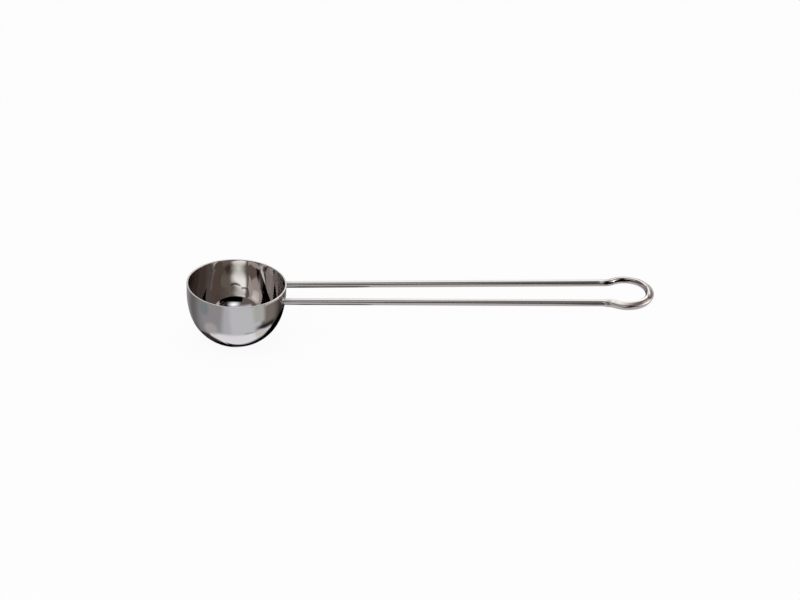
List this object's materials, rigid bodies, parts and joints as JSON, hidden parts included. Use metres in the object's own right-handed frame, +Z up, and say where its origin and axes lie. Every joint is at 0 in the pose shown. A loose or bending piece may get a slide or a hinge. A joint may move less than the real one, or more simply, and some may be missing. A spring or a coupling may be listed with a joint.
{
  "type": "measuring spoon",
  "caption": "Long-handled steel measuring spoon: a small ball-bottomed cup welded to a bent wire handle whose spreading legs close in a flattened hanging loop.",
  "frame": {"origin": "centre of the cup's flat base, on the surface that it stands on", "axes": "+Z up through the cup's open rim, +X along the handle towards the hanging loop, +Y to the rear leg"},
  "size_m": [0.2092, 0.0446, 0.0283],
  "materials": {
    "polished_sheet": "polished",
    "polished_wire": "polished",
    "weld_metal": "satin"
  },
  "bodies": {
    "root": {"bowl": "polished_sheet", "wire_handle": "polished_wire", "front_weld": "weld_metal", "rear_weld": "weld_metal"}
  },
  "joints": []
}
